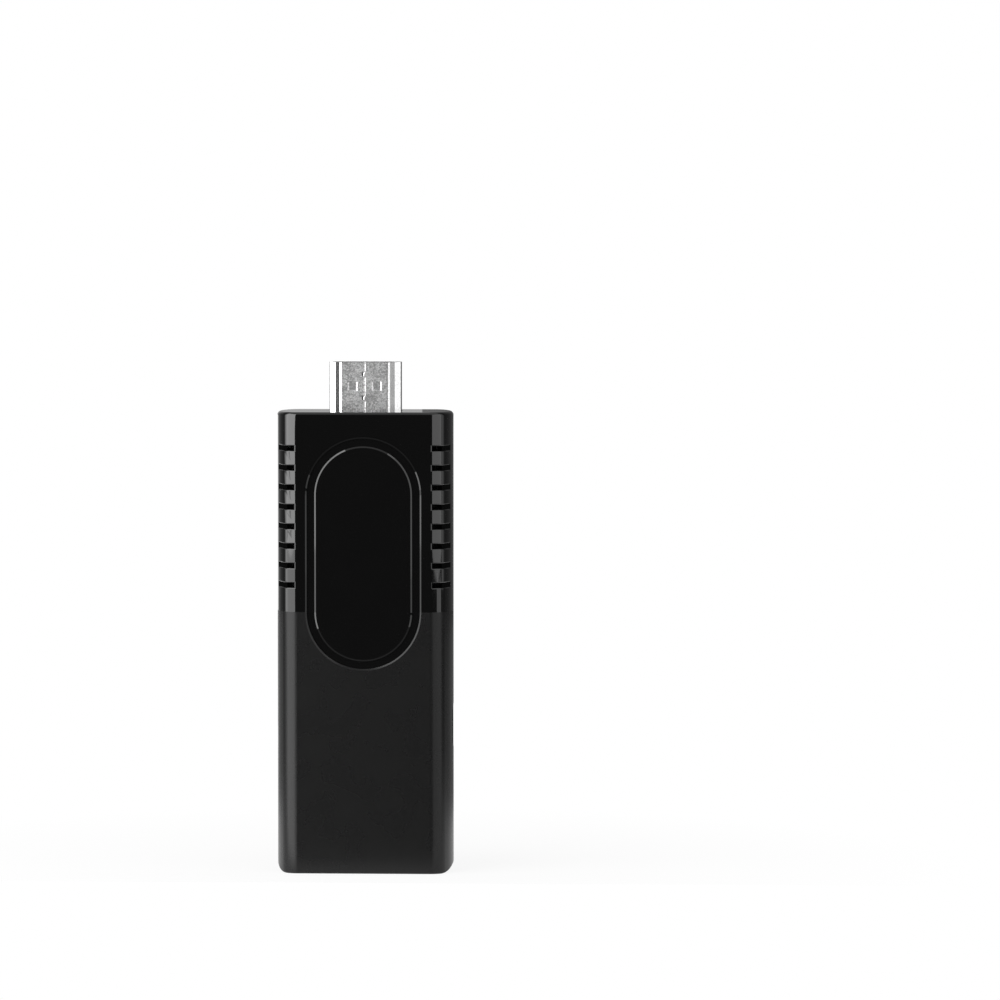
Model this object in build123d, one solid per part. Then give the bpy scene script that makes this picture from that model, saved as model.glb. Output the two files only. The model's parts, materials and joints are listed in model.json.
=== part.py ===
from build123d import *
import math
import os

# A television streaming stick: a slim case of two covers that stands on its lower end,
# with its video plug up. Millimetres, front face towards -Y, +Z up, and the origin in the
# middle of the lower end.

# Case
case_width = 34.0
case_depth = 14.0
case_height = 89.0
wall = 1.6
side_reach = 4.2
side_corner_radius = 3.2
top_edge_radius = 0.75
lower_corner_radius = 2.2
lower_edge_chamfer = 0.2

# Joint between the covers, on the middle plane of the depth
lip_height = 0.9
lip_thickness = 0.75
lip_clearance = 0.06
seam_step_height = 0.12
seam_step_depth = 0.15
snap_count = 3
snap_length = 6.0
snap_pitch = 22.0
snap_reach = 0.22
snap_height = 0.36
snap_clearance = 0.05
snap_middle_z = 40.0

# Vent slots in the front of the curved long sides
vent_count = 8
vent_pitch = 3.765
vent_width = 0.93
vent_top_drop = 6.95
vent_inner_x = 13.25
vent_floor_y = 3.0
vent_rim_radius = 0.22

# Decorative plate, a stadium with a rim that lies below its raised middle
plate_width = 21.8
plate_length = 44.4
plate_top_drop = 5.05
plate_thickness = 0.9
plate_rim_width = 1.5
plate_rim_step = 0.4
plate_bevel_width = 0.28
plate_bevel_depth = 0.17
plate_clearance = 0.04
tape_thickness = 0.1
tape_width = 2.4
tape_inset = 0.6

# Video plug
plug_width = 13.9
plug_depth = 4.45
plug_narrow_width = 9.4
plug_waist_width = 11.5
plug_waist_depth = 1.3
plug_shoulder_depth = 1.85
plug_fold_radius = 0.7
plug_waist_radius = 0.2
plug_corner_radius = 0.45
plug_sheet = 0.3
plug_reach = 9.4
plug_shell_length = 15.4
plug_hole_gap = 0.15
plug_core_gap = 0.03
plug_core_recess = 0.25
plug_slot_width = 11.4
plug_slot_length = 8.2
plug_block_width = 14.8
plug_block_depth = 5.1
plug_block_length = 3.0
latch_width = 1.35
latch_height = 1.65
latch_slope = 0.3
latch_corner_radius = 0.1
latch_spread = 4.65
latch_drop = 3.6
latch_depth = 0.24
latch_back_border = 0.2
seam_width = 0.07
seam_bevel = 0.13
seam_bevel_angle = 35.0
seam_key_reach = 0.43
seam_key_width = 0.3
seam_key_height = 0.65
seam_key_bevel = 0.2
seam_key_bend = 0.25
seam_key_drops = (2.4, 6.95)

# Video plug's contacts
plug_front_count = 10
plug_rear_count = 9
plug_contact_pitch = 1.0
plug_contact_width = 0.42
plug_contact_thickness = 0.25
plug_contact_recess = 0.9
plug_tail_length = 2.4
contact_clearance = 0.02

# Clamp that grounds the video plug on the board
bracket_sheet = 0.3
bracket_gap = 0.12
bracket_grip = 3.2
bracket_cheek_front = 1.3
bracket_reach = 2.0

# Circuit board, on the middle plane of the depth
board_thickness = 1.0
board_side_gap = 0.5
board_lower_gap = 1.4
board_corner_radius = 1.0
board_cut_gap = 0.2
board_hole_gap = 0.2

# USB receptacle in the lower end
usb_width = 13.1
usb_depth = 5.7
usb_sheet = 0.3
usb_length = 14.0
usb_recess = 0.35
usb_hole_gap = 0.2
usb_corner_radius = 0.6
usb_back_length = 1.8
usb_tongue_width = 11.1
usb_tongue_thickness = 1.84
usb_tongue_side_gap = 0.6
usb_tongue_recess = 0.9
usb_contact_positions = (-3.5, -1.0, 1.0, 3.5)
usb_contact_width = 1.0
usb_contact_thickness = 0.2
usb_contact_recess = 1.2
usb_tail_length = 2.2
usb_leaf_spread = 6.4
usb_leaf_width = 1.6
usb_leaf_length = 6.0
usb_leaf_cut = 0.35
usb_leaf_start = 3.4

# Power inlet in the right side
power_width = 7.5
power_narrow_width = 5.5
power_depth = 2.5
power_slant_depth = 0.9
power_sheet = 0.25
power_corner_radius = 0.4
power_length = 5.6
power_recess = 0.3
power_hole_gap = 0.2
power_mouth_bevel = 0.4
power_z = 28.2
power_back_length = 1.3
power_tongue_width = 3.7
power_tongue_thickness = 0.6
power_tongue_recess = 0.5
power_contact_count = 5
power_contact_pitch = 0.65
power_contact_width = 0.3
power_contact_thickness = 0.15
power_contact_recess = 0.3
power_tail_length = 1.4

# Reset button in the left side
reset_z = 26.0
reset_length = 5.4
reset_width = 2.6
reset_recess = 0.15
reset_hole_gap = 0.1
reset_mouth_bevel = 0.25
reset_flange_border = 0.8
reset_flange_thickness = 0.7
reset_flange_gap = 0.08
reset_edge_radius = 0.3
reset_travel = 0.35
reset_travel_spare = 0.25
switch_length = 4.7
switch_reach = 3.2
switch_thickness = 1.7
switch_wall_gap = 1.0
stem_length = 1.6
stem_thickness = 0.8
stem_depth = 1.2
stem_gap = 0.06

# Status light in the lower end
light_side_inset = 5.7
light_y = -1.4
light_diameter = 1.6
light_recess = 0.1
light_hole_gap = 0.05
light_flange_diameter = 2.5
light_flange_gap = 0.05
light_air_gap = 0.15
led_width = 1.6
led_height = 0.8
led_thickness = 0.6
led_edge_gap = 0.1

# Blank label in the rear cover, over the screws
label_width = 24.0
label_top_drop = 31.0
label_lower_z = 14.0
label_corner_radius = 1.2
label_recess_depth = 0.3
label_thickness = 0.2
label_gap = 0.15

# Screws and their bosses
screw_diameter = 2.0
screw_length = 9.0
screw_tip_length = 1.0
screw_head_diameter = 3.8
screw_head_thickness = 1.3
screw_head_gap = 0.15
screw_hole_gap = 0.12
screw_pilot_gap = 0.02
screw_tip_gap = 0.4
screw_inset_x = 3.2
screw_inset_z = 5.5
screw_cross_width = 0.5
screw_cross_span = 2.0
screw_cross_depth = 0.6
counterbore_depth = 1.6
front_boss_diameter = 4.4
rear_boss_diameter = 5.6
boss_root = 0.4

# Processor, its thermal pad and the heat spreader on the rear of the board
processor_size = 14.0
processor_thickness = 1.2
processor_drop = 23.0
pad_thickness = 0.9
spreader_width = 24.0
spreader_length = 19.0
spreader_thickness = 1.0
spreader_flange = 1.2
rib_thickness = 1.0
rib_spread = 14.0
rib_end_inset = 1.0

# Chips and small parts on the board
memory_width = 8.0
memory_length = 11.0
memory_thickness = 1.0
memory_spread = 11.0
flash_width = 13.0
flash_length = 11.5
flash_x = 1.4
flash_thickness = 1.0
wifi_width = 12.0
wifi_length = 12.0
wifi_thickness = 0.8
wifi_z = 31.0
wifi_x = -1.0
wifi_shield_border = 0.6
wifi_shield_height = 1.5
wifi_shield_sheet = 0.2
antenna_sheet = 0.25
antenna_height = 2.6
antenna_length = 12.0
antenna_fold = 1.6
antenna_foot_width = 1.6
antenna_edge_gap = 0.8
antenna_lower_z = 37.0
regulator_size = 4.0
regulator_thickness = 0.9
inductor_size = 4.0
inductor_thickness = 2.0
inductor_core_diameter = 3.0
inductor_core_height = 0.2
regulator_x = 3.4
supply_z = 21.5
supply_pitch = 5.0
crystal_width = 2.5
crystal_length = 3.2
crystal_thickness = 0.7
crystal_gap = 0.9
capacitor_width = 0.8
capacitor_length = 1.6
capacitor_thickness = 0.8
capacitor_pitch = 2.2
capacitor_row_count = 6
capacitor_row_gap = 1.6

# Levels and places worked out from the sizes above
front_y = -case_depth / 2
rear_y = case_depth / 2
side_x = case_width / 2
side_corner_x = side_x - side_reach
side_corner_y = rear_y - side_corner_radius
side_radius = (side_reach**2 + rear_y**2 - 2 * rear_y * side_corner_radius) / (
    2 * (side_reach - side_corner_radius)
)
side_centre_x = side_x - side_radius
inner_x = side_x - wall
inner_front_y = front_y + wall
inner_rear_y = rear_y - wall
board_front_y = -board_thickness / 2
board_rear_y = board_thickness / 2
board_half_width = inner_x - board_side_gap
board_lower_z = wall + board_lower_gap
vent_first_z = case_height - vent_top_drop
plate_z = case_height - plate_top_drop - plate_length / 2
plate_recess_depth = plate_thickness + tape_thickness
plate_floor_y = front_y + plate_recess_depth
plate_rim_y = front_y + plate_rim_step
plug_tip_z = case_height + plug_reach
plug_shell_end_z = plug_tip_z - plug_shell_length
board_top_z = plug_shell_end_z - plug_block_length
plug_slot_depth = board_thickness + 2 * plug_contact_thickness
usb_end_z = usb_recess + usb_length
usb_notch_top_z = usb_end_z + 2 * usb_contact_thickness
usb_tongue_rear_y = usb_depth / 2 - usb_sheet - usb_tongue_side_gap
usb_tongue_front_y = usb_tongue_rear_y - usb_tongue_thickness
power_mouth_x = side_x - power_recess
power_end_x = power_mouth_x - power_length
power_notch_x = power_end_x - 2 * power_contact_thickness
flange_half_depth = reset_width / 2 + reset_flange_border
flange_wall_x = side_centre_x + math.sqrt((side_radius - wall) ** 2 - flange_half_depth**2)
flange_outer_x = reset_flange_gap - flange_wall_x
flange_inner_x = flange_outer_x + reset_flange_thickness
reset_notch_x = flange_inner_x + reset_travel + reset_travel_spare
switch_outer_x = flange_inner_x + switch_wall_gap
switch_inner_x = switch_outer_x + switch_reach
switch_y = board_front_y - switch_thickness / 2
light_x = side_x - light_side_inset
led_z = board_lower_z + led_edge_gap
label_top_z = case_height - label_top_drop
label_length = label_top_z - label_lower_z
label_z = (label_top_z + label_lower_z) / 2
screw_x = label_width / 2 - screw_inset_x
screw_places = ((screw_x, label_lower_z + screw_inset_z), (-screw_x, label_top_z - screw_inset_z))
head_seat_y = rear_y - label_recess_depth - counterbore_depth
processor_z = case_height - processor_drop
processor_rear_y = board_rear_y + processor_thickness
spreader_front_y = processor_rear_y + pad_thickness
spreader_rear_y = spreader_front_y + spreader_thickness
wifi_top_z = wifi_z + wifi_length / 2
flash_z = (processor_z - memory_length / 2 + wifi_top_z) / 2
crystal_x = (memory_spread + memory_width + crystal_width) / 2 + crystal_gap

# Cutters run this far past the faces that they open
overrun = 1.0


def block(x_span, y_span, z_span):
    """Block between two limits on each axis."""
    middle = [(low + high) / 2 for low, high in (x_span, y_span, z_span)]
    sizes = [high - low for low, high in (x_span, y_span, z_span)]
    return Pos(*middle) * Box(*sizes)


def board_block(x, z, width, length, y_low, y_high):
    """Block that is centred on a place of the board, between two depths."""
    return block((x - width / 2, x + width / 2), (y_low, y_high), (z - length / 2, z + length / 2))


def through_depth(sketch, y_low, y_high):
    """Solid of a front-view sketch, whose sketch axes are X and Z, between two depths."""
    return extrude(Plane.XZ.offset(-y_high) * sketch, y_high - y_low)


def through_side(sketch, x_low, x_high):
    """Solid of a side-view sketch, whose sketch axes are Y and Z, between two places on X."""
    return extrude(Plane.YZ.offset(x_low) * sketch, x_high - x_low)


def upward(sketch, z_low, z_high):
    """Solid of a top-view sketch between two heights."""
    return Pos(0, 0, z_low) * extrude(sketch, z_high - z_low)


def stadium(width, length):
    """Upright stadium in a sketch."""
    return SlotOverall(length, width, rotation=90)


def round_bar(x, z, diameter, y_low, y_high):
    """Round bar along the depth."""
    return through_depth(Pos(x, z) * Circle(diameter / 2), y_low, y_high)


def row(count, pitch):
    """Centred positions of a row."""
    return [(index - (count - 1) / 2) * pitch for index in range(count)]


def case_section(inset):
    """Case's section seen from above: flat front and rear, and tangent arcs along each side."""
    deep = rear_y - inset
    corner_radius = side_corner_radius - inset
    joint_angle = math.degrees(math.atan2(side_corner_y, side_corner_x - side_centre_x))
    right = [
        CenterArc((side_corner_x, -side_corner_y), corner_radius, -90, 90 - joint_angle),
        CenterArc((side_centre_x, 0), side_radius - inset, -joint_angle, 2 * joint_angle),
        CenterArc((side_corner_x, side_corner_y), corner_radius, joint_angle, 90 - joint_angle),
    ]
    left = [mirror(arc, Plane.YZ) for arc in right]
    front = Line((-side_corner_x, -deep), (side_corner_x, -deep))
    rear = Line((-side_corner_x, deep), (side_corner_x, deep))
    return make_face([front, rear, *right, *left])


def case_form(inset):
    """Solid of the case's section, brought in by the inset on every side."""
    return upward(case_section(inset), inset, case_height - inset)


def outer_form():
    """Case as one solid, with its top edge rounded and its lower corners turned."""
    body = case_form(0)
    body = fillet(body.faces().sort_by(Axis.Z)[-1].edges(), top_edge_radius)
    body = chamfer(body.faces().sort_by(Axis.Z)[0].edges(), lower_edge_chamfer)
    front_view = Pos(0, case_height / 2) * Rectangle(case_width, case_height)
    front_view = fillet(front_view.vertices().group_by(Axis.Y)[0], lower_corner_radius)
    return body & through_depth(front_view, front_y - overrun, rear_y + overrun)


def depth_slab(y_low, y_high):
    """Slab that holds the whole case between two depths."""
    return block((-case_width, case_width), (y_low, y_high), (-overrun, case_height + overrun))


def seam_cutter():
    """Ring that steps the outer edges of the two covers back where they meet."""
    return depth_slab(-seam_step_height, seam_step_height) - case_form(seam_step_depth)


def vent_cutters():
    """Slots through both curved sides, cut from the front."""
    cutters = []
    depths = (front_y - overrun, -vent_floor_y)
    for index in range(vent_count):
        z = vent_first_z - index * vent_pitch
        for side in (-1, 1):
            places = sorted((side * vent_inner_x, side * (side_x + overrun)))
            cutters.append(block(places, depths, (z - vent_width / 2, z + vent_width / 2)))
    return cutters


def on_rounding(point):
    """Whether a point lies on one of the curved long sides."""
    across, deep = abs(point.X), abs(point.Y)
    corner_gap = math.hypot(across - side_corner_x, deep - side_corner_y) - side_corner_radius
    side_gap = math.hypot(across - side_centre_x, deep) - side_radius
    return min(abs(corner_gap), abs(side_gap)) < 1e-4


def at_slot(z):
    """Whether a height lies at one of the vent slots."""
    index = round((vent_first_z - z) / vent_pitch)
    return index in range(vent_count) and abs(vent_first_z - index * vent_pitch - z) < vent_width


def round_rims(cover):
    """Cover with the rims of its vent slots rounded where they break the curved sides."""
    rims = []
    for edge in cover.edges():
        points = [edge @ 0, edge @ 0.5, edge @ 1]
        above_floor = points[1].Y < -vent_floor_y - vent_rim_radius
        if above_floor and at_slot(points[1].Z) and all(on_rounding(point) for point in points):
            rims.append(edge)
    return fillet(rims, vent_rim_radius)


def plug_section(inset):
    """Plug's section seen from its tip, with its narrow side to the front."""
    half, narrow, waist = plug_width / 2, plug_narrow_width / 2, plug_waist_width / 2
    low, high = -plug_depth / 2, plug_depth / 2
    points = (
        (-half, high),
        (half, high),
        (half, low + plug_shoulder_depth),
        (waist, low + plug_waist_depth),
        (narrow, low),
        (-narrow, low),
        (-waist, low + plug_waist_depth),
        (-half, low + plug_shoulder_depth),
    )
    outline = make_face(Polyline(*points, close=True))
    corner_radii = {
        low: plug_fold_radius,
        low + plug_waist_depth: plug_waist_radius,
        low + plug_shoulder_depth: plug_corner_radius,
        high: plug_corner_radius,
    }
    for level, radius in corner_radii.items():
        corners = outline.vertices().filter_by(lambda corner: abs(corner.Y - level) < 1e-6)
        outline = fillet(corners, radius)
    return offset(outline, -inset) if inset else outline


def usb_section(growth):
    """Receptacle's section seen from below, grown by a distance."""
    return RectangleRounded(usb_width + 2 * growth, usb_depth + 2 * growth, usb_corner_radius + growth)


def power_section(growth):
    """Power inlet's section in a side view, with its narrow side to the front."""
    half, narrow = power_width / 2, power_narrow_width / 2
    low, high = -power_depth / 2, power_depth / 2
    slant = low + power_slant_depth
    points = ((high, -half), (high, half), (slant, half), (low, narrow), (low, -narrow), (slant, -half))
    outline = make_face(Polyline(*points, close=True))
    outline = fillet(outline.vertices(), power_corner_radius)
    return Pos(0, power_z) * (offset(outline, growth) if growth else outline)


def reset_section(growth):
    """Reset button's outline in a side view, grown by a distance."""
    return Pos(0, reset_z) * stadium(reset_width + 2 * growth, reset_length + 2 * growth)


def light_bar(diameter, z_low, z_high):
    """Upright round bar at the status light."""
    return upward(Pos(light_x, light_y) * Circle(diameter / 2), z_low, z_high)


def mouth_bevel(section, growth, bevel, side):
    """Cutter that bevels a side opening's mouth, on the right (side 1) or the left (side -1)."""
    outer = Plane.YZ.offset(side * side_x) * section(growth + bevel)
    inner = Plane.YZ.offset(side * (side_x - bevel)) * section(growth)
    return loft([outer, inner])


def port_cutters():
    """Openings for the plug, the sockets, the button and the light, through both covers."""
    return [
        mouth_bevel(power_section, power_hole_gap, power_mouth_bevel, 1),
        mouth_bevel(reset_section, reset_hole_gap, reset_mouth_bevel, -1),
        upward(
            offset(plug_section(0), plug_hole_gap), case_height - wall - overrun, case_height + overrun
        ),
        upward(usb_section(usb_hole_gap), -overrun, wall + overrun),
        through_side(power_section(power_hole_gap), inner_x - overrun, side_x + overrun),
        through_side(reset_section(reset_hole_gap), -side_x - overrun, -inner_x + overrun),
        light_bar(light_diameter + 2 * light_hole_gap, -overrun, wall + overrun),
    ]


def snap_beads(growth):
    """Ridges along the lip that click into grooves of the front cover."""
    beads = []
    lip_outer_x = inner_x + lip_thickness
    y_low = -lip_height / 2 - snap_height / 2 - growth
    y_high = -lip_height / 2 + snap_height / 2 + growth
    for side in (-1, 1):
        places = sorted((side * inner_x, side * (lip_outer_x + snap_reach + growth)))
        for drop in row(snap_count, snap_pitch):
            z = snap_middle_z + drop
            half = snap_length / 2 + growth
            beads.append(block(places, (y_low, y_high), (z - half, z + half)))
    return beads


def front_cover():
    """Front half of the case, with the plate's recess, slots and screw bosses."""
    shell = (outer_form() - case_form(wall)) & depth_slab(front_y - overrun, 0)
    rebate = case_form(wall - lip_thickness - lip_clearance) & depth_slab(-lip_height - lip_clearance, 0)
    shell = shell - rebate - seam_cutter()
    shell = shell - snap_beads(snap_clearance + lip_clearance)
    shell = round_rims(shell - vent_cutters())
    plate_outline = Pos(0, plate_z) * stadium(plate_width, plate_length)
    shell = shell - through_depth(plate_outline, front_y - overrun, plate_floor_y)
    rim = [edge for edge in shell.edges() if is_plate_rim(edge)]
    front_face = shell.faces().sort_by(Axis.Y)[0]
    shell = chamfer(rim, plate_bevel_width, plate_bevel_depth, reference=front_face)
    for x, z in screw_places:
        boss = round_bar(x, z, front_boss_diameter, inner_front_y - boss_root, board_front_y)
        pilot_low_y = head_seat_y - screw_length - screw_tip_gap
        pilot = round_bar(x, z, screw_diameter + 2 * screw_pilot_gap, pilot_low_y, board_rear_y)
        shell = (shell + boss) - pilot
    return shell - port_cutters()


def is_plate_rim(edge):
    """Whether an edge bounds the mouth of the plate's recess."""
    middle = edge @ 0.5
    near_x = abs(middle.X) < plate_width / 2 + overrun / 2
    near_z = abs(middle.Z - plate_z) < plate_length / 2 + overrun / 2
    return near_x and near_z and abs(middle.Y - front_y) < 1e-4


def rear_cover():
    """Rear half of the case, with the lip, label recess, bosses and ribs."""
    shell = (outer_form() - case_form(wall)) & depth_slab(0, rear_y + overrun)
    lip = (case_form(wall - lip_thickness) - case_form(wall)) & depth_slab(-lip_height, boss_root)
    shell = shell - seam_cutter() + lip + snap_beads(0)
    label = RectangleRounded(label_width, label_length, label_corner_radius)
    label_recess_y = rear_y - label_recess_depth
    shell = shell - through_depth(Pos(0, label_z) * label, label_recess_y, rear_y + overrun)
    for x, z in screw_places:
        boss = round_bar(x, z, rear_boss_diameter, board_rear_y, inner_rear_y + boss_root)
        room_diameter = screw_head_diameter + 2 * screw_head_gap
        head_room = round_bar(x, z, room_diameter, head_seat_y, rear_y + overrun)
        hole = round_bar(x, z, screw_diameter + 2 * screw_hole_gap, board_front_y, rear_y)
        shell = (shell + boss) - head_room - hole
    for x in row(2, rib_spread):
        rib_length = spreader_length - 2 * rib_end_inset
        shell = shell + board_block(
            x, processor_z, rib_thickness, rib_length, spreader_rear_y, inner_rear_y + boss_root
        )
    return shell - port_cutters()


def decor_plate():
    """Glossy plate with a raised middle inside a lower rim."""
    width, length = plate_width - 2 * plate_clearance, plate_length - 2 * plate_clearance
    back_y = front_y + plate_thickness
    rim = through_depth(Pos(0, plate_z) * stadium(width, length), plate_rim_y, back_y)
    raised = stadium(plate_width - 2 * plate_rim_width, plate_length - 2 * plate_rim_width)
    middle = through_depth(Pos(0, plate_z) * raised, front_y, back_y)
    front_face = middle.faces().sort_by(Axis.Y)[0]
    middle = chamfer(front_face.edges(), plate_bevel_width, plate_bevel_depth, reference=front_face)
    return rim + middle


def plate_adhesive():
    """Ring of double-sided tape between the plate and its recess."""
    width, length = plate_width - 2 * tape_inset, plate_length - 2 * tape_inset
    ring = stadium(width, length) - stadium(width - 2 * tape_width, length - 2 * tape_width)
    return through_depth(Pos(0, plate_z) * ring, plate_floor_y - tape_thickness, plate_floor_y)


def rear_label():
    """Blank label that lies in its recess and covers the screws."""
    width, length = label_width - 2 * label_gap, label_length - 2 * label_gap
    outline = Pos(0, label_z) * RectangleRounded(width, length, label_corner_radius - label_gap)
    recess_y = rear_y - label_recess_depth
    return through_depth(outline, recess_y, recess_y + label_thickness)


def case_screws():
    """Self-tapping screws that hold the covers and the board together."""
    screws = []
    for x, z in screw_places:
        head_y = head_seat_y + screw_head_thickness
        head = round_bar(x, z, screw_head_diameter, head_seat_y, head_y)
        tip_start_y = head_seat_y - screw_length + screw_tip_length
        shank = round_bar(x, z, screw_diameter, tip_start_y, head_seat_y)
        tip_plane = Plane((x, tip_start_y, z), x_dir=(1, 0, 0), z_dir=(0, -1, 0))
        tip = tip_plane * Cone(
            screw_diameter / 2,
            screw_diameter / 8,
            screw_tip_length,
            align=(Align.CENTER, Align.CENTER, Align.MIN),
        )
        cross_y = head_y - screw_cross_depth
        cross = board_block(x, z, screw_cross_width, screw_cross_span, cross_y, head_y + overrun)
        cross = cross + board_block(x, z, screw_cross_span, screw_cross_width, cross_y, head_y + overrun)
        screws.append(head + shank + tip - cross)
    return Compound(screws)


def main_board():
    """Circuit board with its notches for the sockets, the switch, the clamp and the screws."""
    height = board_top_z - board_lower_z
    outline = Pos(0, (board_top_z + board_lower_z) / 2) * RectangleRounded(
        2 * board_half_width, height, board_corner_radius
    )
    board = through_depth(outline, board_front_y, board_rear_y)
    depths = (board_front_y - overrun, board_rear_y + overrun)
    usb_half = usb_width / 2 + board_cut_gap
    board = board - block((-usb_half, usb_half), depths, (0, usb_notch_top_z))
    power_half = power_width / 2 + board_cut_gap
    power_span = (power_z - power_half, power_z + power_half)
    board = board - block((power_notch_x, side_x), depths, power_span)
    reset_half = reset_length / 2 + reset_flange_border + board_cut_gap
    board = board - block((-side_x, reset_notch_x), depths, (reset_z - reset_half, reset_z + reset_half))
    cheek_low = plug_block_width / 2
    cheek_high = cheek_low + 2 * bracket_gap + bracket_sheet
    for side in (-1, 1):
        cheek_span = sorted((side * cheek_low, side * cheek_high))
        slot_span = (board_top_z - bracket_grip - bracket_gap, board_top_z + overrun)
        board = board - block(cheek_span, depths, slot_span)
    for x, z in screw_places:
        board = board - round_bar(x, z, screw_diameter + 2 * board_hole_gap, *depths)
    return board


def latch_windows():
    """Small windows in the plug's narrow side, upright at the top and sloped on the other sides."""
    windows = []
    top_z = plug_tip_z - latch_drop
    for x in row(2, latch_spread):
        mouth_width, mouth_height = latch_width + 2 * latch_slope, latch_height + latch_slope
        mouth = Pos(x, top_z - mouth_height / 2) * RectangleRounded(mouth_width, mouth_height, latch_slope)
        floor = RectangleRounded(latch_width, latch_height, latch_corner_radius)
        floor = Pos(x, top_z - latch_height / 2) * floor
        outside = Plane.XZ.offset(plug_depth / 2)
        windows.append(loft([outside * mouth, outside.offset(-latch_depth) * floor]))
    return windows


def latch_backs(gap, y_low):
    """Blocks that back the windows, or with a gap the rooms that they take up in the core."""
    width = latch_width + 2 * (latch_slope + latch_back_border + gap)
    height = latch_height + latch_slope + 2 * (latch_back_border + gap)
    z = plug_tip_z - latch_drop - (latch_height + latch_slope) / 2
    y_high = -plug_depth / 2 + latch_depth + plug_sheet + gap
    return [board_block(x, z, width, height, y_low, y_high) for x in row(2, latch_spread)]


def seam_line(width):
    """Strip along the fold seam of the plug's narrow side, which bends through its key holes."""
    half = seam_key_height / 2
    points = [(0, case_height - wall)]
    for drop in sorted(seam_key_drops, reverse=True):
        z = plug_tip_z - drop
        points += [
            (0, z - half - seam_key_bend),
            (-seam_key_reach, z - half / 2),
            (-seam_key_reach, z + half / 2),
            (0, z + half + seam_key_bend),
        ]
    points.append((0, plug_tip_z + overrun))
    return trace(Polyline(*points), width)


def key_holes(growth):
    """Small holes beside the seam, grown by a distance."""
    hole = Rectangle(seam_key_width + 2 * growth, seam_key_height + 2 * growth)
    return [Pos(-seam_key_reach, plug_tip_z - drop) * hole for drop in seam_key_drops]


def seam_cutters():
    """Cutters of the seam and its key holes, with their outer edges bevelled."""
    low = -plug_depth / 2
    outside = Plane.XZ.offset(-low)
    slope = math.tan(math.radians(seam_bevel_angle))
    taper = 90 - seam_bevel_angle
    line = outside * seam_line(seam_width + 2 * seam_bevel)
    cutters = [extrude(line, -slope * seam_bevel, taper=taper)]
    for mouth in key_holes(seam_key_bevel):
        cutters.append(extrude(outside * mouth, -slope * seam_key_bevel, taper=taper))
    for gap in [seam_line(seam_width), *key_holes(0)]:
        cutters.append(through_depth(gap, low - overrun, low + plug_sheet + plug_core_gap))
    return cutters


def hdmi_shell():
    """Folded steel shell of the video plug."""
    shell = upward(plug_section(0), plug_shell_end_z, plug_tip_z)
    shell = shell - upward(plug_section(plug_sheet), plug_shell_end_z - overrun, plug_tip_z + overrun)
    shell = shell + latch_backs(0, (plug_sheet - plug_depth) / 2)
    return shell - latch_windows() - seam_cutters()


def plug_contact(x, face):
    """One contact strip with its tail on the board's front (face -1) or rear (face 1)."""
    inner = face * board_thickness / 2
    depths = sorted((inner, inner + face * plug_contact_thickness))
    span = (board_top_z - plug_tail_length, plug_tip_z - plug_contact_recess)
    return block((x - plug_contact_width / 2, x + plug_contact_width / 2), depths, span)


def plug_contacts(count, face):
    """Row of contact strips on one side of the plug's slot."""
    return Compound([plug_contact(x, face) for x in row(count, plug_contact_pitch)])


def hdmi_insulator():
    """Plastic core of the plug, with its slot and the block behind the shell."""
    core_top = plug_tip_z - plug_core_recess
    core = upward(plug_section(plug_sheet + plug_core_gap), plug_shell_end_z, core_top)
    core = core - latch_backs(plug_core_gap, -plug_depth)
    tail_block = block(
        (-plug_block_width / 2, plug_block_width / 2),
        (-plug_block_depth / 2, plug_block_depth / 2),
        (board_top_z, plug_shell_end_z),
    )
    slot_half = plug_slot_width / 2
    slot = block(
        (-slot_half, slot_half),
        (-plug_slot_depth / 2, plug_slot_depth / 2),
        (core_top - plug_slot_length, core_top + overrun),
    )
    core = core + tail_block - slot
    channel_span = (board_top_z - overrun, core_top - plug_slot_length)
    for count, face in ((plug_front_count, -1), (plug_rear_count, 1)):
        inner = face * (board_thickness / 2 - contact_clearance)
        outer = face * (board_thickness / 2 + plug_contact_thickness + contact_clearance)
        half = plug_contact_width / 2 + contact_clearance
        for x in row(count, plug_contact_pitch):
            core = core - block((x - half, x + half), sorted((inner, outer)), channel_span)
    return core


def hdmi_bracket():
    """Steel clamp round the plug's block, with cheeks that grip the board."""
    cheek_inner = plug_block_width / 2 + bracket_gap
    cheek_outer = cheek_inner + bracket_sheet
    strap_front = plug_block_depth / 2 + bracket_gap
    strap_rear = strap_front + bracket_sheet
    z_low, z_high = board_top_z - bracket_grip, plug_shell_end_z + bracket_reach
    strap = block((-cheek_outer, cheek_outer), (strap_front, strap_rear), (board_top_z, z_high))
    clamp = strap
    for side in (-1, 1):
        places = sorted((side * cheek_inner, side * cheek_outer))
        clamp = clamp + block(places, (-bracket_cheek_front, strap_rear), (z_low, z_high))
    return clamp


def usb_shell():
    """Steel shell of the receptacle, with its leaf springs cut into both wide sides."""
    shell = upward(usb_section(0), usb_recess, usb_end_z)
    shell = shell - upward(usb_section(-usb_sheet), usb_recess - overrun, usb_end_z + overrun)
    half, cut = usb_leaf_width / 2, usb_leaf_cut
    z_low, z_high = usb_recess + usb_leaf_start, usb_recess + usb_leaf_start + usb_leaf_length
    depths = (-usb_depth, usb_depth)
    for x in row(2, usb_leaf_spread):
        for side in (-1, 1):
            places = sorted((x + side * half, x + side * (half + cut)))
            shell = shell - block(places, depths, (z_low, z_high))
        shell = shell - block((x - half - cut, x + half + cut), depths, (z_high - cut, z_high))
    return shell


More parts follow.
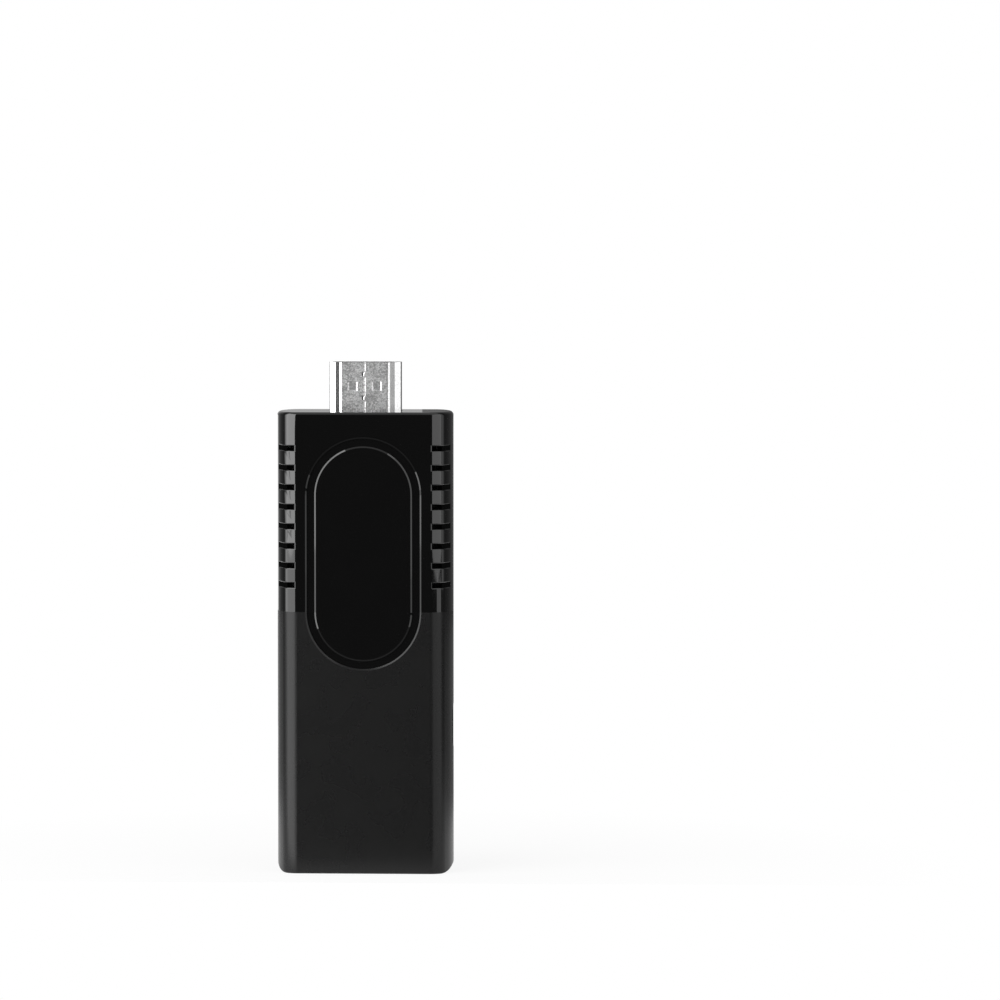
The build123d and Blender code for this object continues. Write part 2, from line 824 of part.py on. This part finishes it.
def usb_contact(x):
    """One contact: strip on the tongue, step behind the block and tail on the board."""
    half = usb_contact_width / 2
    thickness = usb_contact_thickness
    places = (x - half, x + half)
    strip_front = usb_tongue_front_y - thickness
    step_top_z = usb_end_z + thickness
    tail_front = board_front_y - thickness
    strip_low_z = usb_recess + usb_contact_recess
    strip = block(places, (strip_front, usb_tongue_front_y), (strip_low_z, step_top_z))
    step = block(places, (tail_front, usb_tongue_front_y), (usb_end_z, step_top_z))
    tail = block(places, (tail_front, board_front_y), (usb_end_z, usb_notch_top_z + usb_tail_length))
    return strip + step + tail


def usb_insulator():
    """Plastic back and tongue of the receptacle."""
    back = upward(usb_section(-usb_sheet - plug_core_gap), usb_end_z - usb_back_length, usb_end_z)
    tongue = block(
        (-usb_tongue_width / 2, usb_tongue_width / 2),
        (usb_tongue_front_y, usb_tongue_rear_y),
        (usb_recess + usb_tongue_recess, usb_end_z - usb_back_length / 2),
    )
    core = back + tongue
    half = usb_contact_width / 2 + contact_clearance
    for x in usb_contact_positions:
        depths = (usb_tongue_front_y - usb_contact_thickness - contact_clearance, usb_tongue_front_y)
        heights = (usb_end_z - usb_back_length - overrun, usb_end_z)
        core = core - block((x - half, x + half), depths, heights)
    return core


def power_shell():
    """Steel shell of the power inlet."""
    shell = through_side(power_section(0), power_end_x, power_mouth_x)
    room = power_section(-power_sheet)
    return shell - through_side(room, power_end_x - overrun, power_mouth_x + overrun)


def power_contact(z):
    """One contact: strip on the tongue, step behind the back and tail on the board."""
    thickness = power_contact_thickness
    heights = (z - power_contact_width / 2, z + power_contact_width / 2)
    tongue_front = -power_tongue_thickness / 2
    strip_front = tongue_front - thickness
    strip_end = power_mouth_x - power_tongue_recess - power_contact_recess
    strip = block((power_end_x - thickness, strip_end), (strip_front, tongue_front), heights)
    tail_front = board_front_y - thickness
    tail_start = power_notch_x - power_tail_length
    step = block((power_end_x - thickness, power_end_x), (tail_front, tongue_front), heights)
    tail = block((tail_start, power_end_x), (tail_front, board_front_y), heights)
    return strip + step + tail


def power_contact_heights():
    """Heights of the power inlet's contacts."""
    return [power_z + drop for drop in row(power_contact_count, power_contact_pitch)]


def power_insulator():
    """Plastic back and tongue of the power inlet."""
    back_section = power_section(-power_sheet - plug_core_gap)
    back = through_side(back_section, power_end_x, power_end_x + power_back_length)
    half_width, half_thickness = power_tongue_width / 2, power_tongue_thickness / 2
    tongue = block(
        (power_end_x + power_back_length / 2, power_mouth_x - power_tongue_recess),
        (-half_thickness, half_thickness),
        (power_z - half_width, power_z + half_width),
    )
    core = back + tongue
    half = power_contact_width / 2 + contact_clearance
    for z in power_contact_heights():
        depths = (-half_thickness - power_contact_thickness - contact_clearance, -half_thickness)
        places = (power_end_x - overrun, power_end_x + power_back_length + overrun)
        core = core - block(places, depths, (z - half, z + half))
    return core


def reset_button():
    """Key in the left side, kept in by the flange behind it."""
    key = through_side(reset_section(0), -side_x + reset_recess, flange_outer_x)
    key = fillet(key.faces().sort_by(Axis.X)[0].edges(), reset_edge_radius)
    return key + through_side(reset_section(reset_flange_border), flange_outer_x, flange_inner_x)


def stem_block(growth, x_high):
    """Switch's stem, or with a growth the room that it slides in."""
    y_span = (switch_y - stem_thickness / 2 - growth, switch_y + stem_thickness / 2 + growth)
    z_span = (reset_z - stem_length / 2 - growth, reset_z + stem_length / 2 + growth)
    return block((flange_inner_x, x_high), y_span, z_span)


def reset_switch():
    """Housing of the small side-pressed switch."""
    middle_x = (switch_outer_x + switch_inner_x) / 2
    depths = (board_front_y - switch_thickness, board_front_y)
    housing = board_block(middle_x, reset_z, switch_reach, switch_length, *depths)
    room_end = switch_outer_x + stem_depth + reset_travel + reset_travel_spare
    return housing - stem_block(stem_gap, room_end)


def light_guide():
    """Clear guide that brings the status light to the lower end."""
    flange_low = wall + light_flange_gap
    guide = light_bar(light_diameter, light_recess, flange_low)
    return guide + light_bar(light_flange_diameter, flange_low, led_z - light_air_gap)


def status_led():
    """Light source on the board behind the guide."""
    places = (light_x - led_width / 2, light_x + led_width / 2)
    return block(places, (board_front_y - led_thickness, board_front_y), (led_z, led_z + led_height))


def heat_spreader():
    """Aluminium plate with two folded edges, pressed on the pad by the cover's ribs."""
    depths = (spreader_front_y, spreader_rear_y)
    plate = board_block(0, processor_z, spreader_width, spreader_length, *depths)
    for side in (-1, 1):
        edge_x = side * spreader_width / 2
        places = sorted((edge_x, edge_x - side * spreader_thickness))
        heights = (processor_z - spreader_length / 2, processor_z + spreader_length / 2)
        plate = plate + block(places, (spreader_front_y - spreader_flange, spreader_rear_y), heights)
    return plate


def wifi_shield():
    """Folded steel can over the radio module."""
    base_y = board_front_y - wifi_thickness
    top_y = base_y - wifi_shield_height
    width, length = wifi_width - 2 * wifi_shield_border, wifi_length - 2 * wifi_shield_border
    sheet = wifi_shield_sheet
    can = board_block(wifi_x, wifi_z, width, length, top_y, base_y)
    room_width, room_length = width - 2 * sheet, length - 2 * sheet
    return can - board_block(wifi_x, wifi_z, room_width, room_length, top_y + sheet, base_y)


def antenna():
    """Folded strip antenna that stands on the board on two feet."""
    x_high = board_half_width - antenna_edge_gap
    x_low = x_high - antenna_sheet
    top_y = board_front_y - antenna_height
    z_high = antenna_lower_z + antenna_length
    heights = (antenna_lower_z, z_high)
    wing = block((x_high - antenna_fold, x_high), (top_y, top_y + antenna_sheet), heights)
    strip = wing + block((x_low, x_high), (top_y, top_y + antenna_fold), heights)
    for foot_z in (antenna_lower_z, antenna_lower_z + 2 * antenna_foot_width):
        foot_heights = (foot_z, foot_z + antenna_foot_width)
        strip = strip + block((x_low, x_high), (top_y, board_front_y), foot_heights)
    return strip


def power_inductors():
    """Two shielded inductors of the supply, each with a round core on top."""
    pieces = []
    for index in (0, 1):
        x = regulator_x - (index + 1) * supply_pitch
        top_y = board_front_y - inductor_thickness
        can = board_block(x, supply_z, inductor_size, inductor_size, top_y, board_front_y)
        core = round_bar(x, supply_z, inductor_core_diameter, top_y - inductor_core_height, top_y)
        pieces.append(can + core)
    return Compound(pieces)


def capacitors():
    """Rows of small capacitors above and below the processor, on the board's rear."""
    pieces = []
    depths = (board_rear_y, board_rear_y + capacitor_thickness)
    for side in (-1, 1):
        z = processor_z + side * (processor_size / 2 + capacitor_row_gap)
        for x in row(capacitor_row_count, capacitor_pitch):
            pieces.append(board_block(x, z, capacitor_width, capacitor_length, *depths))
    return Compound(pieces)


def front_chip(x, z, width, length, thickness):
    """Flat chip on the board's front."""
    return board_block(x, z, width, length, board_front_y - thickness, board_front_y)


nodes = {
    "front_cover": front_cover(),
    "rear_cover": rear_cover(),
    "decor_plate": decor_plate(),
    "plate_adhesive": plate_adhesive(),
    "rear_label": rear_label(),
    "case_screws": case_screws(),
    "main_board": main_board(),
    "hdmi_shell": hdmi_shell(),
    "hdmi_insulator": hdmi_insulator(),
    "hdmi_contacts_front": plug_contacts(plug_front_count, -1),
    "hdmi_contacts_rear": plug_contacts(plug_rear_count, 1),
    "hdmi_bracket": hdmi_bracket(),
    "usb_shell": usb_shell(),
    "usb_insulator": usb_insulator(),
    "usb_contacts": Compound([usb_contact(x) for x in usb_contact_positions]),
    "power_shell": power_shell(),
    "power_insulator": power_insulator(),
    "power_contacts": Compound([power_contact(z) for z in power_contact_heights()]),
    "reset_button": reset_button(),
    "reset_stem": stem_block(0, switch_outer_x + stem_depth),
    "reset_switch": reset_switch(),
    "light_guide": light_guide(),
    "status_led": status_led(),
    "processor": board_block(
        0, processor_z, processor_size, processor_size, board_rear_y, processor_rear_y
    ),
    "thermal_pad": board_block(
        0, processor_z, processor_size, processor_size, processor_rear_y, spreader_front_y
    ),
    "heat_spreader": heat_spreader(),
    "memory_chips": Compound([
        front_chip(x, processor_z, memory_width, memory_length, memory_thickness)
        for x in row(2, memory_spread)
    ]),
    "flash_chip": front_chip(flash_x, flash_z, flash_width, flash_length, flash_thickness),
    "wifi_module": front_chip(wifi_x, wifi_z, wifi_width, wifi_length, wifi_thickness),
    "wifi_shield": wifi_shield(),
    "antenna": antenna(),
    "regulator": front_chip(regulator_x, supply_z, regulator_size, regulator_size, regulator_thickness),
    "power_inductors": power_inductors(),
    "crystal": front_chip(crystal_x, processor_z, crystal_width, crystal_length, crystal_thickness),
    "capacitors": capacitors(),
}

os.makedirs("parts", exist_ok=True)
for name, shape in nodes.items():
    export_step(shape, f"parts/{name}.step")
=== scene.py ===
import bpy
import json
import math
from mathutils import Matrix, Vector

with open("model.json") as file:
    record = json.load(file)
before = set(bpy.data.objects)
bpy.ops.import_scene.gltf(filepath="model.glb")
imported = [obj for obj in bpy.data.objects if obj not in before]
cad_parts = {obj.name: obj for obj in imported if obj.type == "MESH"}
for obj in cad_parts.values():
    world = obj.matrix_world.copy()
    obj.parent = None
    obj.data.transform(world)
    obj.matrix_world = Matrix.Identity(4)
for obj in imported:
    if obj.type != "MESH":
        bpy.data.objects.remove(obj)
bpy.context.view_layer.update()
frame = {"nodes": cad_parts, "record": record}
nodes = frame["nodes"]

# Height of the line between the glossy upper part and the matte lower part of the case
GLOSS_LINE = 0.05055

# Middle of the plate's upper arc, how far from it the bevel of the plate's recess ends, and
# the share of the polish that this bevel has
PLATE_ARC_HEIGHT = 0.07305
RECESS_EDGE_REACH = 0.0113
RECESS_EDGE_POLISH = 0.25

# How far a finish blends into the next one at these lines
FINISH_BLEND = 0.00005

# On the plug, each as the range over which a mask blends: where the front face ends at each
# side, where the rear face starts, and where the windows' floors lie behind the front face,
# which are darkened as painted shade
PLUG_FRONT_EDGE = (0.0042, 0.0045)
PLUG_REAR_START = (0.0021, 0.0022)
WINDOW_FLOOR_START = (-0.00205, -0.002)

# How far down and how far left of straight ahead the camera looks, in radians
CAMERA_DOWN = 0.06037
CAMERA_LEFT = 0.04996

# How far the lamps and the cards stand from the object
LEFT_DISTANCE = 0.5
RIGHT_DISTANCE = 0.55
CARD_DISTANCE = 0.14

# Bearings between which the main lamps stand, in degrees right of the front
LEFT_BEARINGS = (-17.5, -79)
RIGHT_BEARINGS = (15.5, 84)

# Half width of the floor, and where it ends in front of the object and behind it
FLOOR_SIDE = 1.5
FLOOR_FRONT = -0.022
FLOOR_BACK = 2.5


# Camera at the photograph's place
camera_data = bpy.data.cameras.new("camera")
camera_data.lens = 254.88
camera_data.sensor_width = 36.0
camera_data.clip_start = 0.05
camera_data.clip_end = 20.0
camera = bpy.data.objects.new("camera", camera_data)
camera.location = (0.094036, -1.360996, 0.154172)
camera.rotation_euler = (math.pi / 2 - CAMERA_DOWN, 0.0, CAMERA_LEFT)
bpy.context.scene.collection.objects.link(camera)
bpy.context.scene.camera = camera


class Nodes:
    """Short way to add and link the nodes of one tree."""

    def __init__(self, tree):
        self.tree = tree
        tree.nodes.clear()

    def add(self, kind, inputs=(), **settings):
        node = self.tree.nodes.new(kind)
        for key, value in settings.items():
            setattr(node, key, value)
        for key, value in dict(inputs).items():
            self.put(value, node.inputs[key])
        return node

    def put(self, value, socket):
        """Links another node's output to a socket, or sets the socket to a constant."""
        if isinstance(value, bpy.types.NodeSocket):
            self.tree.links.new(value, socket)
        else:
            socket.default_value = value

    def maths(self, operation, first, second=0.0, clamp=False):
        node = self.add("ShaderNodeMath", {0: first, 1: second}, operation=operation, use_clamp=clamp)
        return node.outputs[0]

    def ramp(self, value, low, high, to_low, to_high):
        """Value mapped from one range to another, and held at its ends."""
        node = self.add(
            "ShaderNodeMapRange",
            {"Value": value, "From Min": low, "From Max": high, "To Min": to_low, "To Max": to_high},
        )
        return node.outputs["Result"]

    def mix(self, factor, first, second):
        """Colour mixed by a factor."""
        node = self.add("ShaderNodeMix", data_type="RGBA")
        for index, value in ((0, factor), (6, first), (7, second)):
            self.put(value, node.inputs[index])
        return node.outputs[2]

    def place(self):
        """Place on the object, in metres."""
        return self.add("ShaderNodeTexCoord").outputs["Object"]

    def split(self, vector):
        """X, Y and Z of a vector."""
        return self.add("ShaderNodeSeparateXYZ", {0: vector}).outputs

    def length(self, vector):
        return self.add("ShaderNodeVectorMath", {0: vector}, operation="LENGTH").outputs["Value"]

    def noise(self, scale, detail=2.0, roughness=0.5, vector=None):
        node = self.add("ShaderNodeTexNoise", {"Scale": scale, "Detail": detail, "Roughness": roughness})
        self.put(vector or self.place(), node.inputs["Vector"])
        return node.outputs["Fac"]

    def stretched(self, scale):
        """Place on the object, scaled on each axis."""
        return self.add("ShaderNodeMapping", {"Vector": self.place(), "Scale": scale}).outputs["Vector"]

    def bump(self, height, distance, strength):
        node = self.add("ShaderNodeBump", {"Height": height, "Distance": distance, "Strength": strength})
        return node.outputs["Normal"]

    def principled(self, inputs):
        shader = self.add("ShaderNodeBsdfPrincipled", inputs)
        self.add("ShaderNodeOutputMaterial", {"Surface": shader.outputs[0]})


def grey(value):
    return (value, value, value, 1.0)


def darker(colour, share):
    """Colour with a share of its light."""
    return tuple(channel * share for channel in colour[:3]) + (1.0,)


def new_material(name):
    material = bpy.data.materials.new(name)
    material.use_nodes = True
    return material, Nodes(material.node_tree)


def case_plastic():
    """Black moulded plastic, polished above the line, less so at the recess, and grained below."""
    material, tree = new_material("case_black")
    place = tree.split(tree.place())
    gloss = tree.ramp(place["Z"], GLOSS_LINE - FINISH_BLEND, GLOSS_LINE + FINISH_BLEND, 0.0, 1.0)
    rise = tree.maths("MAXIMUM", tree.maths("SUBTRACT", place["Z"], PLATE_ARC_HEIGHT), 0.0)
    from_arc = tree.add("ShaderNodeCombineXYZ", {"X": place["X"], "Y": rise}).outputs[0]
    reach = tree.length(from_arc)
    bevel_end = RECESS_EDGE_REACH + FINISH_BLEND
    polish = tree.ramp(reach, RECESS_EDGE_REACH, bevel_end, RECESS_EDGE_POLISH, 1.0)
    matte = tree.maths("SUBTRACT", 1.0, gloss)
    smudge = tree.noise(160.0, 3.0)
    grain = tree.noise(9000.0, 2.0, 0.6)
    matte_grain = tree.maths("MULTIPLY", grain, matte)
    polished = tree.maths("MULTIPLY", tree.ramp(smudge, 0.3, 0.75, 0.03, 0.06), gloss)
    grained = tree.maths("MULTIPLY", tree.ramp(smudge, 0.2, 0.8, 0.26, 0.29), matte)
    tone = tree.ramp(matte, 0.0, 1.0, 0.0018, 0.0052)
    tree.principled({
        "Base Color": tree.maths("ADD", tone, tree.maths("MULTIPLY", matte_grain, 0.0015)),
        "Roughness": tree.maths("ADD", polished, grained),
        "IOR": 1.39,
        "Coat Weight": tree.maths("MULTIPLY", gloss, polish),
        "Coat Roughness": 0.035,
        "Coat IOR": 1.5,
        "Normal": tree.bump(matte_grain, 0.000003, 0.3),
    })
    return material


def plate_gloss():
    """Deep black polished plate."""
    material, tree = new_material("plate_gloss")
    smudge = tree.noise(120.0, 3.0)
    tree.principled({
        "Base Color": tree.mix(smudge, grey(0.0018), grey(0.0026)),
        "Roughness": tree.ramp(smudge, 0.3, 0.75, 0.025, 0.055),
        "IOR": 1.6,
    })
    return material


def grained_plastic(name, colour, roughness, scale=9000.0, depth=0.00001):
    """Moulded plastic with a fine grain."""
    material, tree = new_material(name)
    grain = tree.noise(scale, 2.0, 0.6)
    cloud = tree.noise(220.0, 2.0)
    tree.principled({
        "Base Color": tree.mix(tree.maths("MULTIPLY", grain, 0.8), colour, darker(colour, 0.8)),
        "Roughness": tree.ramp(cloud, 0.3, 0.7, roughness * 0.9, roughness * 1.1),
        "Normal": tree.bump(grain, depth, 0.6),
    })
    return material


def metal(name, colour, roughness, grain_scale=2500.0, stretch=(1.0, 1.0, 1.0), spread=0.25):
    """Plated or rolled sheet metal, with a fine mottled grain."""
    material, tree = new_material(name)
    place = tree.stretched(stretch)
    mottle = tree.noise(grain_scale, 4.0, 0.65, place)
    cloud = tree.noise(grain_scale / 8, 2.0, 0.5, place)
    grain_roughness = tree.ramp(mottle, 0.3, 0.7, roughness * 0.85, roughness * 1.1)
    cloud_roughness = tree.ramp(cloud, 0.3, 0.7, 0.0, 0.05)
    brightness = tree.ramp(mottle, 0.35, 0.65, 0.0, 1.0)
    tree.principled({
        "Base Color": tree.mix(brightness, darker(colour, 1.0 - spread), colour),
        "Metallic": 1.0,
        "Roughness": tree.maths("ADD", grain_roughness, cloud_roughness),
        "Normal": tree.bump(mottle, 0.000004, 0.6),
    })
    return material


def plug_steel():
    """Nickel-plated sheet, mottled on its front and rear faces and smoother on its folds and sides."""
    material, tree = new_material("plug_steel")
    place = tree.split(tree.place())
    front = tree.ramp(tree.maths("ABSOLUTE", place["X"]), *PLUG_FRONT_EDGE, 1.0, 0.0)
    rear = tree.ramp(place["Y"], *PLUG_REAR_START, 0.0, 1.0)
    face = tree.maths("MAXIMUM", front, rear)
    # Painted shade: the windows' floors behind the front face are darkened by up to 0.35
    behind_front = tree.ramp(place["Y"], *WINDOW_FLOOR_START, 0.0, 0.35)
    window_floor = tree.maths("MULTIPLY", behind_front, tree.maths("SUBTRACT", 1.0, rear))
    mottle = tree.noise(3800.0, 5.0, 0.75)
    cloud = tree.noise(420.0, 2.0)
    tone = tree.maths("ADD", tree.maths("MULTIPLY", mottle, 0.8), tree.maths("MULTIPLY", cloud, 0.2))
    strength = tree.ramp(face, 0.0, 1.0, 0.35, 1.0)
    # Painted shade on the window floors, added to the mottle's darker patches
    window_floor_painted_shade = tree.maths("MULTIPLY", window_floor, front)
    mottle_and_painted_shade = tree.maths("ADD", tree.ramp(tone, 0.44, 0.56, 1.0, 0.0), window_floor_painted_shade)
    dark = tree.maths("MULTIPLY", mottle_and_painted_shade, strength, clamp=True)
    rough = tree.ramp(mottle, 0.3, 0.7, 0.38, 0.3)
    smooth = tree.ramp(mottle, 0.3, 0.7, 0.22, 0.17)
    tree.principled({
        "Base Color": tree.mix(dark, grey(0.98), grey(0.4)),
        "Metallic": 1.0,
        "Roughness": tree.ramp(face, 0.0, 1.0, smooth, rough),
        "Normal": tree.bump(mottle, 0.000002, 0.3),
    })
    return material


def board_black():
    """Black solder mask over copper runs, with a slight gloss."""
    material, tree = new_material("board_black")
    runs = tree.add("ShaderNodeTexBrick", {
        "Vector": tree.stretched((1.0, 1.0, 0.6)),
        "Scale": 900.0,
        "Color1": grey(0.008),
        "Color2": grey(0.006),
        "Mortar": grey(0.014),
        "Mortar Size": 0.12,
    })
    tree.principled({
        "Base Color": runs.outputs["Color"],
        "Roughness": tree.ramp(tree.noise(400.0), 0.3, 0.7, 0.3, 0.4),
        "Normal": tree.bump(runs.outputs["Fac"], 0.00001, 0.5),
    })
    return material


def clear_plastic():
    """Milky clear plastic of the light guide."""
    material, tree = new_material("clear_plastic")
    cloud = tree.noise(2000.0, 3.0)
    tree.principled({
        "Base Color": tree.mix(cloud, grey(0.75), grey(0.9)),
        "Roughness": tree.ramp(cloud, 0.3, 0.7, 0.12, 0.25),
        "IOR": 1.49,
        "Transmission Weight": 0.85,
    })
    return material


def label_film():
    """Satin film of the blank label."""
    material, tree = new_material("label_film")
    fibre = tree.noise(5000.0, 3.0, 0.7)
    cloud = tree.noise(90.0, 2.0)
    tree.principled({
        "Base Color": tree.mix(cloud, grey(0.11), grey(0.13)),
        "Roughness": tree.ramp(fibre, 0.3, 0.7, 0.38, 0.5),
        "Normal": tree.bump(fibre, 0.000006, 0.5),
    })
    return material


slot_materials = {
    "case_black": case_plastic(),
    "plate_gloss": plate_gloss(),
    "tape": grained_plastic("tape", grey(0.25), 0.7, 3000.0),
    "label_film": label_film(),
    "screw_steel": metal("screw_steel", (0.32, 0.32, 0.33, 1.0), 0.3),
    "board_black": board_black(),
    "plug_steel": plug_steel(),
    "core_plastic": grained_plastic("core_plastic", grey(0.02), 0.45),
    "contact_gold": metal("contact_gold", (0.83, 0.6, 0.27, 1.0), 0.2, 4000.0, (1.0, 1.0, 0.2), 0.12),
    "socket_steel": metal("socket_steel", (0.6, 0.6, 0.6, 1.0), 0.28, stretch=(1.0, 1.0, 0.3)),
    "key_plastic": grained_plastic("key_plastic", grey(0.012), 0.38),
    "chip_black": grained_plastic("chip_black", grey(0.02), 0.5, 4000.0, 0.00002),
    "clear_plastic": clear_plastic(),
    "led_white": grained_plastic("led_white", (0.8, 0.8, 0.72, 1.0), 0.4),
    "pad_grey": grained_plastic("pad_grey", (0.3, 0.33, 0.37, 1.0), 0.8, 2500.0),
    "spreader_aluminium": metal(
        "spreader_aluminium", (0.7, 0.7, 0.72, 1.0), 0.35, stretch=(1.0, 1.0, 0.1)
    ),
    "inductor_grey": grained_plastic("inductor_grey", grey(0.08), 0.6, 5000.0, 0.00002),
    "crystal_steel": metal("crystal_steel", (0.55, 0.55, 0.52, 1.0), 0.25),
    "capacitor_tan": grained_plastic("capacitor_tan", (0.3, 0.2, 0.12, 1.0), 0.5),
}

node_slots = {part["node"]: part["material_slot"] for part in frame["record"]["subparts"]}


def dress(name, material):
    """Gives a node its material."""
    data = nodes[name].data
    data.materials.clear()
    data.materials.append(material)


def stage_plane(name, corners, material):
    """Flat piece of the studio."""
    mesh = bpy.data.meshes.new(name)
    mesh.from_pydata(corners, [], [list(range(len(corners)))])
    mesh.materials.append(material)
    piece = bpy.data.objects.new(name, mesh)
    bpy.context.scene.collection.objects.link(piece)
    return piece


def area_lamp(name, place, target, size, radiance):
    """Soft panel of one radiance, that faces a target."""
    width, height = size
    data = bpy.data.lights.new(name, "AREA")
    data.shape = "RECTANGLE"
    data.size, data.size_y = width, height
    data.energy = radiance * math.pi * width * height
    lamp = bpy.data.objects.new(name, data)
    lamp.location = place
    lamp.rotation_euler = (Vector(target) - Vector(place)).to_track_quat("-Z", "Y").to_euler()
    lamp.visible_camera = False
    bpy.context.scene.collection.objects.link(lamp)


def bearing(degrees, distance, height):
    """Place at an angle right of the front, as seen from the object."""
    angle = math.radians(degrees)
    return (distance * math.sin(angle), -distance * math.cos(angle), height)


def softbox(name, bearings, heights, distance, radiance):
    """Upright lit panel between two bearings seen from the object and two heights."""
    middle, half = sum(bearings) / 2, abs(bearings[1] - bearings[0]) / 2
    z = sum(heights) / 2
    size = (2 * distance * math.tan(math.radians(half)), heights[1] - heights[0])
    area_lamp(name, bearing(middle, distance, z), (0.0, 0.0, z), size, radiance)


def card(name, bearings, heights, levels):
    """Grey card between two bearings, seen only in reflections, whose level changes along it."""
    material, tree = new_material(name)
    generated = tree.add("ShaderNodeTexCoord").outputs["Generated"]
    level = tree.ramp(tree.split(generated)["Y"], 0.0, 1.0, *levels)
    glow = tree.add("ShaderNodeEmission", {"Color": grey(1.0), "Strength": level})
    tree.add("ShaderNodeOutputMaterial", {"Surface": glow.outputs[0]})
    first, last = bearings
    low, high = heights
    outline = ((first, low), (last, low), (last, high), (first, high))
    corners = [bearing(degrees, CARD_DISTANCE, height) for degrees, height in outline]
    piece = stage_plane(name, corners, material)
    piece.visible_camera = False
    piece.visible_diffuse = False
    piece.visible_transmission = False
    piece.visible_shadow = False


def floor_material():
    """White floor that keeps the object's soft shadow close round it."""
    material, tree = new_material("floor")
    path = tree.add("ShaderNodeLightPath").outputs
    clear = tree.maths("MAXIMUM", path["Is Glossy Ray"], path["Is Transmission Ray"])
    seen = tree.maths("MAXIMUM", path["Is Camera Ray"], clear)
    away = tree.length(tree.place())
    matt = tree.add("ShaderNodeBsdfDiffuse", {"Color": grey(0.85)})
    white = tree.add("ShaderNodeEmission", {"Color": grey(1.0), "Strength": 1.0})
    share = tree.maths("MULTIPLY", seen, tree.ramp(away, 0.03, 0.12, 0.88, 1.0))
    mixed = tree.add("ShaderNodeMixShader", {0: share, 1: matt.outputs[0], 2: white.outputs[0]})
    tree.add("ShaderNodeOutputMaterial", {"Surface": mixed.outputs[0]})
    return material


def studio_world():
    """Grey in mirrors, brighter behind and below, and white to the camera and through plastic."""
    world = bpy.data.worlds.new("studio")
    world.use_nodes = True
    tree = Nodes(world.node_tree)
    toward = tree.split(tree.add("ShaderNodeTexCoord").outputs["Generated"])
    front = tree.ramp(toward["Y"], -0.3, 0.0, 0.04, 0.1)
    back = tree.ramp(toward["Y"], 0.5, 1.0, 0.0, 0.3)
    below = tree.ramp(toward["Z"], -0.4, -0.25, 0.2, 0.0)
    surround = tree.maths("ADD", tree.maths("ADD", front, back), below)
    path = tree.add("ShaderNodeLightPath").outputs
    seen = tree.maths("MAXIMUM", path["Is Camera Ray"], path["Is Transmission Ray"])
    ambient = tree.mix(path["Is Glossy Ray"], grey(0.25), surround)
    colour = tree.mix(seen, ambient, grey(1.0))
    background = tree.add("ShaderNodeBackground", {"Color": colour, "Strength": 1.0})
    tree.add("ShaderNodeOutputWorld", {"Surface": background.outputs[0]})
    bpy.context.scene.world = world


floor_corners = [
    (-FLOOR_SIDE, FLOOR_FRONT, 0.0),
    (FLOOR_SIDE, FLOOR_FRONT, 0.0),
    (FLOOR_SIDE, FLOOR_BACK, 0.0),
    (-FLOOR_SIDE, FLOOR_BACK, 0.0),
]
stage_plane("floor", floor_corners, floor_material())

softbox("left_upper", LEFT_BEARINGS, (0.028, 0.7), LEFT_DISTANCE, 3.6)
softbox("left_lower", LEFT_BEARINGS, (0.0, 0.028), LEFT_DISTANCE, 2.1)
softbox("left_foot", LEFT_BEARINGS, (-0.15, 0.0), LEFT_DISTANCE, 3.4)
softbox("right_upper", RIGHT_BEARINGS, (0.018, 0.7), RIGHT_DISTANCE, 1.2)
softbox("right_lower", (48, 80), (0.0, 0.018), RIGHT_DISTANCE, 0.9)
softbox("right_foot", (20, 84), (-0.15, -0.02), RIGHT_DISTANCE, 1.0)
area_lamp("top_panel", (0.0, 0.0, 0.9), (0.0, 0.0, 0.0), (1.4, 1.7), 0.45)

card("left_near_card", (-76, -96), (0.04, 0.3), (3.2, 0.12))
card("left_middle_card", (-96, -125), (0.04, 0.3), (0.1, 0.07))
card("left_far_card", (-125, -150), (0.04, 0.3), (0.07, 0.25))
card("left_low_near_card", (-76, -96), (0.0, 0.04), (1.8, 0.3))
card("left_low_card", (-96, -150), (0.0, 0.04), (0.2, 0.45))
card("right_near_card", (85, 104), (0.046, 0.3), (0.85, 0.2))
card("right_far_card", (104, 179), (0.04, 0.3), (0.04, 0.14))
card("right_low_near_card", (85, 104), (0.0, 0.046), (0.1, 0.06))
card("right_low_far_card", (104, 179), (0.0, 0.04), (0.22, 0.33))

studio_world()
for name, slot in node_slots.items():
    dress(name, slot_materials[slot])

bpy.context.scene.view_settings.view_transform = "Standard"
